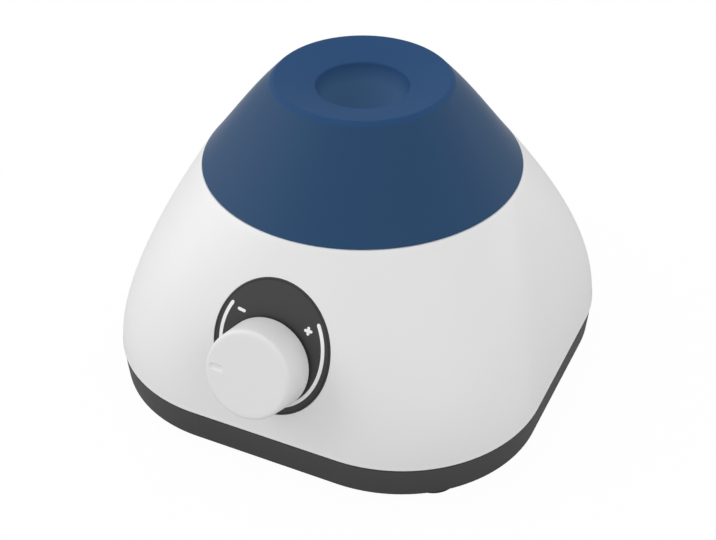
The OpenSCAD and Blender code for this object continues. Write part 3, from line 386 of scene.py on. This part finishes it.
seam_bead = (  # height over the seam and inset in mm
    (0.1, 0.5), (0.08, 0.2), (0.2, 0), (0.4, -0.1), (0.6, -0.1), (0.95, 0))
wall_low, wall_high = 1.4 * mm, shell_h - 0.5 * mm
edge_z = boot_z - 0.22 * mm
outer_levels, inner_levels = 56, 14
outer = [shell_ring(height * mm, inset * mm) for height, inset in seam_bead]
outer += [shell_ring(wall_low + (wall_high - wall_low) * k / outer_levels)
          for k in range(outer_levels + 1)]
outer += [shell_ring(shell_h - 0.3 * mm, 0.06 * mm), circle(top_r - 0.25 * mm, edge_z, (0, axis_y))]
inside = [circle(top_hole_r, z, (0, axis_y)) for z in (edge_z, boot_z - lip_t)]
inside += [shell_ring((shell_h - lip_t) * (1 - k / inner_levels), shell_wall)
           for k in range(inner_levels)]
inside += [shell_ring(0.12 * mm, shell_wall)]
shell = moulding("shell_moulding", outer + inside, "join")

knob_axis = Vector(joint["knob_turn"]["axis"])
slope_up = Vector((0, knob_axis.z, -knob_axis.y))
seam_front = Vector((0, axis_y - body_half, seam_z))
knob_v = (Vector(joint["knob_turn"]["pos_m"]) - seam_front).dot(slope_up)
dial_rx, dial_ry, dial_u, dial_v = 14.2 * mm, 15.85 * mm, 0.4 * mm, 22.7 * mm
front_place = Matrix((
    (1, 0, 0, 0),
    (0, slope_up.y, knob_axis.y, 0),
    (0, slope_up.z, knob_axis.z, 0),
    (0, 0, 0, 1)))
front_place.translation = seam_front


def front_surface(x, z):
    """Where the shell's front wall lies, at a place to the side and a height."""
    half, corner = shell_section(z - seam_z)
    middle = half - corner
    side = max(0, abs(x) - middle)
    return axis_y - middle - math.sqrt(corner * corner - side * side)


def on_front(u, v, lift):
    """A point on the front wall, u to the side and v up the slope, lifted off the wall."""
    out = 0.0
    for _ in range(12):  # each round comes nearer to the bent wall
        point = front_place @ Vector((u, v, out))
        out += (front_surface(point.x, point.z) - point.y) / knob_axis.y
    return front_place @ Vector((u, v, out + lift))


def oval_sheet(name, rx, ry, low, high, edge, count=192, rings=16):
    """An oval sheet that follows the front wall, with a rounded upper edge."""
    def oval(share, lift):
        turns = [2 * math.pi * k / count for k in range(count)]
        return [on_front(dial_u + rx * share * math.cos(t), dial_v + ry * share * math.sin(t), lift)
                for t in turns]
    under = [oval((k + 0.2) / rings, low) for k in range(rings)] + [oval(1, low)]
    trim = [oval(1, high - edge), oval(1 - 0.3 * edge / rx, high - 0.3 * edge),
            oval(1 - edge / rx, high)]
    over = [oval((k + 0.2) / rings, high) for k in reversed(range(rings))]
    return moulding(name, under + trim + over)


seat_gap, seat_deep, seat_cut, seat_edge = 0.1 * mm, 0.35 * mm, 1.5 * mm, 0.01 * mm
seat = oval_sheet("dial_seat", dial_rx + seat_gap, dial_ry + seat_gap, -seat_deep, seat_cut, seat_edge)
combine(shell, seat, "DIFFERENCE")
bush_hole_r, bush_cut = 3.6 * mm, 6 * mm
bush_hole = rod(bush_hole_r, -bush_cut, bush_cut)
bush_hole.data.transform(front_place @ Matrix.Translation((0, knob_v, 0)))
combine(shell, bush_hole, "DIFFERENCE")
jack_low, jack_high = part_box("dc_jack")
jack_z = (jack_low.z + jack_high.z) / 2
jack_flange_t = 1.4 * mm
jack_face = jack_high.y - jack_flange_t
to_back = Matrix.Translation((0, jack_face, jack_z)) @ Matrix.Rotation(math.radians(-90), 4, "X")
collar_r, inlet_pocket_r, barrel_hole_r = 8 * mm, 6.5 * mm, 4.1 * mm
collar = rod(collar_r, -2.2 * mm, -0.2 * mm, sides=96)
collar.data.transform(to_back)
combine(shell, collar, "UNION")
for radius, low, sides in ((inlet_pocket_r, 0, 128), (barrel_hole_r, -4 * mm, 64)):
    pocket = rod(radius, low, 12 * mm, sides=sides)
    pocket.data.transform(to_back)
    combine(shell, pocket, "DIFFERENCE")
smooth(shell, 24)
shell_white = moulded("shell_white", linear(238, 238, 239), 0.36, grain=0.8, bump=0.03, change=0.012)
dress(shell, shell_white)
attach(shell, "housing")
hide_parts("upper_shell")

# --- Dial plate ---
# The dark oval plate is a thin plastic sheet bonded into its seat on the front, with the control's
# bush through it. Its upper edge is rounded.

dial_under, dial_over, dial_edge = -0.33 * mm, 0.14 * mm, 0.12 * mm
dial = oval_sheet("dial_sheet", dial_rx, dial_ry, dial_under, dial_over, dial_edge)
smooth(dial)
dial_grey = moulded("dial_grey", linear(52, 52, 52), 0.52, grain=0.3, bump=0.05)
dress(dial, dial_grey)
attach(dial, "housing")
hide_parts("dial_plate")

# --- Dial print ---
# White ink is screen printed on the plate: one line round the knob, open at the top, with a
# minus at its left end and a plus at its right. A black band along the plate's edge is painted shade.

arc_rx, arc_ry, arc_v = 12.45 * mm, 14.2 * mm, 23.15 * mm
line_half = 0.4 * mm
arc_from, arc_to = math.radians(146.5), math.radians(395.3)
ink_low, ink_high = 0.1 * mm, 0.19 * mm


def ribbon(name, left, right, low=ink_low, high=ink_high):
    """A strip of ink between two lines of places on the plate."""
    rings = []
    for a, b in zip(left, right):
        rings.append([on_front(*a, low), on_front(*b, low), on_front(*b, high), on_front(*a, high)])
    return moulding(name, rings)


def stroke(name, start, end, half):
    """A straight stroke with round ends."""
    a, b = Vector(start), Vector(end)
    ahead = (b - a).normalized()
    side = Vector((-ahead.y, ahead.x))
    length = (b - a).length
    left, right = [], []
    steps, cap = 24, 0.98 * half
    for k in range(steps + 1):
        x = (length + 2 * cap) * k / steps - cap
        beyond = max(0, -x, x - length)
        width = math.sqrt(max(0, half * half - beyond * beyond))
        middle = a + ahead * x
        left.append(tuple(middle + side * width))
        right.append(tuple(middle - side * width))
    return ribbon(name, left, right)


arc_steps = 160
end_width = 0.373  # of the line's full width
arc_turns = [arc_from + (arc_to - arc_from) * k / arc_steps for k in range(arc_steps + 1)]
arc_widths = [end_width] + [1] * (arc_steps - 1) + [end_width]


def arc_side(sign):
    """The inner or outer side of the line round the knob."""
    return [(dial_u + (arc_rx + sign * line_half * w) * math.cos(t),
             arc_v + (arc_ry + sign * line_half * w) * math.sin(t))
            for t, w in zip(arc_turns, arc_widths)]


plus_u, plus_v, plus_reach, plus_half = 8.65 * mm, 29.15 * mm, 0.65 * mm, 0.34 * mm
minus_half = 0.36 * mm
marks = [
    ribbon("print_arc", arc_side(-1), arc_side(1)),
    stroke("print_minus", (-8.4 * mm, 29.6 * mm), (-7.1 * mm, 29.4 * mm), minus_half),
    stroke("print_plus_level", (plus_u - plus_reach, plus_v), (plus_u + plus_reach, plus_v),
           plus_half),
    stroke("print_plus_upright", (plus_u, plus_v - plus_reach), (plus_u, plus_v + plus_reach),
           plus_half),
]
# The black band round the plate's edge is painted shade, not ink.
border_points = 192
border_turns = [2 * math.pi * k / border_points for k in range(border_points)]
border_section = (  # inset from the plate's edge and height over the wall in mm
    (0.15, 0.1), (0.15, 0.16), (0.5, 0.16), (0.5, 0.1))
border = moulding("painted_edge_shade", [
    [on_front(dial_u + (dial_rx - inset * mm) * math.cos(t),
              dial_v + (dial_ry - inset * mm) * math.sin(t), lift * mm) for t in border_turns]
    for inset, lift in border_section], "join")
edge_shade_black = moulded("edge_shade_black", linear(30, 30, 30), 0.5, grain=0.2, bump=0.03)
dress(border, edge_shade_black)
smooth(border)
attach(border, "housing")
print_white = moulded("print_white", linear(250, 250, 250), 0.5, grain=0.2, bump=0.03, change=0.01)
for mark in marks:
    dress(mark, print_white)
    smooth(mark)
    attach(mark, "housing")

# --- Speed knob ---
# The white knob is a hollow moulded cup with a hub that grips the control's shaft. It narrows
# slightly to its face, which has a small rounded edge and a short pointer groove.

knob_face = 12 * mm
knob_points = 128
knob_profile = (  # radius and height over the wall in mm, from the face down and round inside
    (0.3, 12), (3, 12), (6, 12), (8.6, 12), (9.25, 11.99), (9.6, 11.93), (9.86, 11.78), (10.04, 11.55),
    (10.13, 11.28), (10.17, 11), (10.24, 9.5), (10.33, 7.5), (10.42, 5.5), (10.5, 3.7), (10.53, 3.35),
    (10.5, 3.12), (10.38, 3), (9, 3), (8.9, 3.1), (8.5, 9.9), (8.2, 10), (5, 10), (5, 5.9),
    (3.02, 5.9), (3.02, 9.8), (0.3, 9.8))
knob_place = front_place @ Matrix.Translation((0, knob_v, 0))
knob = moulding("knob_moulding", [circle(r * mm, z * mm, count=knob_points) for r, z in knob_profile])
groove_x, groove_y, groove_l = -5.6 * mm, -0.25 * mm, 3.7 * mm
groove_half, groove_lift, groove_flat = 0.95 * mm, 0.32 * mm, 0.7
groove_steps, groove_points, round_steps = 24, 24, 5
groove_turns = [2 * math.pi * k / groove_points for k in range(groove_points)]
groove_rings = []
for k in range(groove_steps + 1):
    x = groove_x - groove_l * k / groove_steps
    from_end = min(1, min(k, groove_steps - k) / round_steps)
    width = groove_half * math.sqrt(max(0.02, 1 - (1 - from_end) ** 2))
    groove_rings.append([
        Vector((x, groove_y + width * math.cos(t),
                knob_face + groove_lift + groove_flat * width * math.sin(t))) for t in groove_turns])
combine(knob, moulding("pointer_groove", groove_rings), "DIFFERENCE")
knob.data.transform(knob_place)
smooth(knob, 28)
knob_white = moulded("knob_white", linear(234, 234, 234), 0.42, grain=0.6, bump=0.03, change=0.01)
dress(knob, knob_white)
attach(knob, "knob")
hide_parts("speed_knob")

# --- Power inlet ---
# The round inlet in the back is a threaded black barrel with a flange, a hole for the plug and
# a centre pin. It is moulded round its contacts and keeps its solid.

jack_black = moulded("jack_black", linear(34, 34, 35), 0.3, grain=0.5)
dress(frame["nodes"]["dc_jack"], jack_black)

# --- Boot side ---
# The blue boot is one soft silicone moulding. This is its cone, whose foot is clamped in the
# shell's top hole and whose top leans over to the crank pin, where the boot's top sits.

crank = joint["cup_orbit"]["pos_m"]
rim_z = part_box("cup_pad")[1].z
rim_r = 20.45 * mm
cone_top = rim_z - 0.9 * mm
skin_w = 2.6 * mm
cone_points = 192
flank = (top_r - rim_r) / (rim_z - boot_z)
cone_bow = 0.5 * mm


def boot_ring(radius, z):
    """A ring of the boot, whose middle drifts from the motor's axis to the crank pin's."""
    share = max(0, min(1, (z - boot_z) / (cone_top - boot_z)))
    middle = (crank[0] * share, axis_y + (crank[1] - axis_y) * share)
    return circle(radius, z, middle, cone_points)


foot_z, foot_ledge = boot_z - 1.5 * mm, 0.2 * mm
cone_rings = [boot_ring(radius, z) for radius, z in (
    (top_hole_r - 0.1 * mm, foot_z), (top_hole_r - 0.1 * mm, boot_z - foot_ledge - 0.01 * mm),
    (top_r - 0.2 * mm, boot_z - foot_ledge), (top_r - 0.06 * mm, boot_z - 0.15 * mm))]
cone_levels, inner_cone_levels, inner_cone_low = 60, 12, boot_z + 1.4 * mm
for k in range(cone_levels + 1):
    t = k / cone_levels
    z = boot_z + (cone_top - boot_z) * t
    bow = 6.75 * cone_bow * t * t * (1 - t)  # fullest two thirds of the way up
    cone_rings.append(boot_ring(top_r - (z - boot_z) * flank + bow, z))
for k in reversed(range(inner_cone_levels + 1)):
    z = inner_cone_low + (cone_top - inner_cone_low) * k / inner_cone_levels
    cone_rings.append(boot_ring(top_r - skin_w - (z - boot_z) * flank, z))
cone_rings.append(boot_ring(top_hole_r - 2.2 * mm, foot_z))
cone = moulding("boot_side", cone_rings, "join")
smooth(cone)
# The cone's blue differs from the top's, though the boot is one silicone: the difference is painted light and
# shade.
boot_blue = moulded("boot_blue", linear(35, 70, 106), 0.52, grain=0.5, bump=0.06, change=0.02)
boot_shader = boot_blue.node_tree.nodes["Principled BSDF"]
boot_shader.inputs["IOR"].default_value = 1.41
boot_shader.inputs["Specular IOR Level"].default_value = 0.24
boot_shader.inputs["Sheen Weight"].default_value = 0.29
boot_shader.inputs["Sheen Roughness"].default_value = 0.24
dress(cone, boot_blue)
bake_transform(cone)
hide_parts("boot_skirt")

# --- Boot top ---
# The boot's top is a shallow funnel with a crisp outer edge and a soft lip that rolls into a
# round bowl, where the bottle's foot is held. It moves with the cup.

bowl_r, bowl_depth, funnel_h = 10.83 * mm, 8.5 * mm, 2.2 * mm
bowl_mouth = rim_z - funnel_h
bowl_sphere = (bowl_r ** 2 + bowl_depth ** 2) / (2 * bowl_depth)
bowl_centre = bowl_mouth - bowl_depth + bowl_sphere
funnel_r, funnel_z = rim_r - 0.6 * mm, rim_z - 0.07 * mm
top_profile = [(rim_r + 0.9 * mm * flank, cone_top), (rim_r + 0.5 * mm * flank, cone_top + 0.4 * mm),
               (rim_r + 0.1 * mm, rim_z - 0.22 * mm), (rim_r - 0.08 * mm, rim_z - 0.07 * mm),
               (rim_r - 0.32 * mm, rim_z - 0.02 * mm), (funnel_r, funnel_z)]
funnel_steps, lip_steps, bowl_steps = 8, 8, 24
lip_w = 0.5 * mm
lip_r = bowl_r + lip_w
lip_z = bowl_mouth + lip_w * funnel_h / (rim_r - bowl_r)
for k in range(1, funnel_steps + 1):
    share = k / funnel_steps
    top_profile.append((funnel_r + (lip_r - funnel_r) * share, funnel_z + (lip_z - funnel_z) * share))
bowl_start = math.asin((bowl_centre - bowl_mouth + lip_w) / bowl_sphere)
bowl_end = math.radians(89)
bowl_in = (bowl_sphere * math.cos(bowl_start), bowl_mouth - lip_w)
lip_corner = (bowl_r - 0.05 * mm, bowl_mouth + 0.05 * mm)
for k in range(1, lip_steps):
    t = k / lip_steps
    top_profile.append(tuple((1 - t) ** 2 * a + 2 * t * (1 - t) * b + t * t * c
                             for a, b, c in zip((lip_r, lip_z), lip_corner, bowl_in)))
for k in range(bowl_steps + 1):
    turn = bowl_start + (bowl_end - bowl_start) * k / bowl_steps
    top_profile.append((bowl_sphere * math.cos(turn), bowl_centre - bowl_sphere * math.sin(turn)))
top_points = 192
outside = [circle(r, z, crank[:2], top_points) for r, z in top_profile]
under_profile = (  # from the bowl's underside out to the cone
    (0.3 * mm, bowl_mouth - 10.4 * mm), (7.5 * mm, bowl_mouth - 8.3 * mm),
    (11.5 * mm, bowl_mouth - 3.6 * mm), (13.2 * mm, bowl_mouth - 1.6 * mm),
    (18.6 * mm, bowl_mouth - 0.2 * mm), (18.8 * mm, cone_top))
under = [circle(r, z, crank[:2], top_points) for r, z in under_profile]
top = moulding("boot_top", list(reversed(outside)) + list(reversed(under)))
smooth(top, 40)
# The top's base colour is set apart from the cone's to paint how light falls on the funnel and on the flank:
# painted light and shade.
bowl_blue_painted_light_and_shade = moulded("bowl_blue_painted_light_and_shade", linear(44, 78, 120), 0.62, grain=0.5, bump=0.06, change=0.02)
nodes, links = bowl_blue_painted_light_and_shade.node_tree.nodes, bowl_blue_painted_light_and_shade.node_tree.links
nodes["Principled BSDF"].inputs["IOR"].default_value = 1.41
nodes["Principled BSDF"].inputs["Specular IOR Level"].default_value = 0.1
# The bowl's blue is painted lighter from its mouth to 4 mm down: painted light that lifts the shade inside the
# bowl.
even = nodes["Principled BSDF"].inputs["Base Color"]
height = nodes.new("ShaderNodeSeparateXYZ")
links.new(next(n for n in nodes if n.type == "TEX_COORD").outputs["Object"], height.inputs["Vector"])
depth = nodes.new("ShaderNodeMapRange")
depth.inputs["From Min"].default_value = bowl_mouth - 0.2 * mm
depth.inputs["From Max"].default_value = bowl_mouth - 4 * mm
links.new(height.outputs["Z"], depth.inputs["Value"])
bowl_painted_light = nodes.new("ShaderNodeMix")
bowl_painted_light.data_type = "RGBA"
bowl_painted_light.inputs["B"].default_value = linear(64, 97, 135)
links.new(depth.outputs["Result"], bowl_painted_light.inputs["Factor"])
links.new(even.links[0].from_socket, bowl_painted_light.inputs["A"])
links.new(bowl_painted_light.outputs["Result"], even)
dress(top, bowl_blue_painted_light_and_shade)
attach(top, "cup")
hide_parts("cup_pad")

# --- Floor, light and camera ---
# A white floor that keeps the shadow, a large soft lamp from the upper left, weaker ones from the
# front and both sides, a pale room round them, and the camera at the photograph's place.

bpy.ops.object.select_all(action="DESELECT")
bpy.ops.mesh.primitive_plane_add(size=6)
floor = bpy.context.object
floor.name = "floor"
floor_paint = bpy.data.materials.new("floor_pale")
floor_paint.use_nodes = True
nodes, links = floor_paint.node_tree.nodes, floor_paint.node_tree.links
nodes["Principled BSDF"].inputs["Base Color"].default_value = (0.58, 0.58, 0.58, 1)
nodes["Principled BSDF"].inputs["Roughness"].default_value = 0.9
glow = nodes.new("ShaderNodeEmission")
glow.inputs["Strength"].default_value = 1.02
seen = nodes.new("ShaderNodeLightPath")
share = nodes.new("ShaderNodeMath")
share.operation = "MULTIPLY"
share.inputs[1].default_value = 0.95  # the rest shows the shadow
blend = nodes.new("ShaderNodeMixShader")
links.new(seen.outputs["Is Camera Ray"], share.inputs[0])
links.new(share.outputs["Value"], blend.inputs["Fac"])
links.new(nodes["Principled BSDF"].outputs["BSDF"], blend.inputs[1])
links.new(glow.outputs["Emission"], blend.inputs[2])
links.new(blend.outputs["Shader"], nodes["Material Output"].inputs["Surface"])
dress(floor, floor_paint)
floor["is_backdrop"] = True

scene = bpy.context.scene
world = bpy.data.worlds.new("studio")
scene.world = world
world.use_nodes = True
nodes, links = world.node_tree.nodes, world.node_tree.links
backdrop = nodes["Background"]
backdrop.inputs["Color"].default_value = (1, 1, 1, 1)
room = nodes.new("ShaderNodeBackground")
room.inputs["Color"].default_value = (1, 1, 1, 1)
room.inputs["Strength"].default_value = 0.77
seen = nodes.new("ShaderNodeLightPath")
either = nodes.new("ShaderNodeMath")
either.operation = "MAXIMUM"
both = nodes.new("ShaderNodeMath")
both.operation = "MAXIMUM"
blend = nodes.new("ShaderNodeMixShader")
links.new(seen.outputs["Is Camera Ray"], either.inputs[0])
links.new(seen.outputs["Is Glossy Ray"], either.inputs[1])
links.new(either.outputs["Value"], both.inputs[0])
links.new(seen.outputs["Is Transmission Ray"], both.inputs[1])
links.new(both.outputs["Value"], blend.inputs["Fac"])
links.new(room.outputs["Background"], blend.inputs[1])
links.new(backdrop.outputs["Background"], blend.inputs[2])
links.new(blend.outputs["Shader"], nodes["World Output"].inputs["Surface"])

camera_azimuth, camera_elevation = math.radians(25.15), math.radians(36.69)
away = Vector((math.sin(camera_azimuth) * math.cos(camera_elevation),
               -math.cos(camera_azimuth) * math.cos(camera_elevation), math.sin(camera_elevation)))
target = Vector((0, axis_y, 20.7 * mm))
right = Vector((math.cos(camera_azimuth), math.sin(camera_azimuth), 0))
toward = Vector((math.sin(camera_azimuth), -math.cos(camera_azimuth), 0))


def lamp(name, place, size, power):
    """A square soft lamp that points at the machine, its side in metres and power in watts."""
    light = bpy.data.lights.new(name, "AREA")
    light.size = size
    light.energy = power
    body = bpy.data.objects.new(name, light)
    body.location = place
    body.rotation_euler = (place - target).to_track_quat("Z", "Y").to_euler()
    scene.collection.objects.link(body)


lamp("key_lamp", target - 0.85 * right + 0.05 * toward + Vector((0, 0, 0.6)), 0.6, 2)
lamp("fill_lamp", target + 0.5 * right + 0.8 * toward + Vector((0, 0, 0.35)), 0.8, 0.85)
lamp("left_lamp", target - 0.85 * right - 0.3 * toward + Vector((0, 0, 0.25)), 0.5, 0.75)
lamp("right_lamp", target + 0.85 * right - 0.3 * toward + Vector((0, 0, 0.25)), 0.5, 0.6)

view = bpy.data.cameras.new("camera")
view.lens = 66.73
view.sensor_width = 36
view.shift_x = -0.0064
view.clip_start = 0.01
camera = bpy.data.objects.new("camera", view)
camera.location = target + 331.8 * mm * away
camera.rotation_euler = away.to_track_quat("Z", "Y").to_euler()
scene.collection.objects.link(camera)
scene.camera = camera
scene.view_settings.view_transform = "Standard"

low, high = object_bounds()
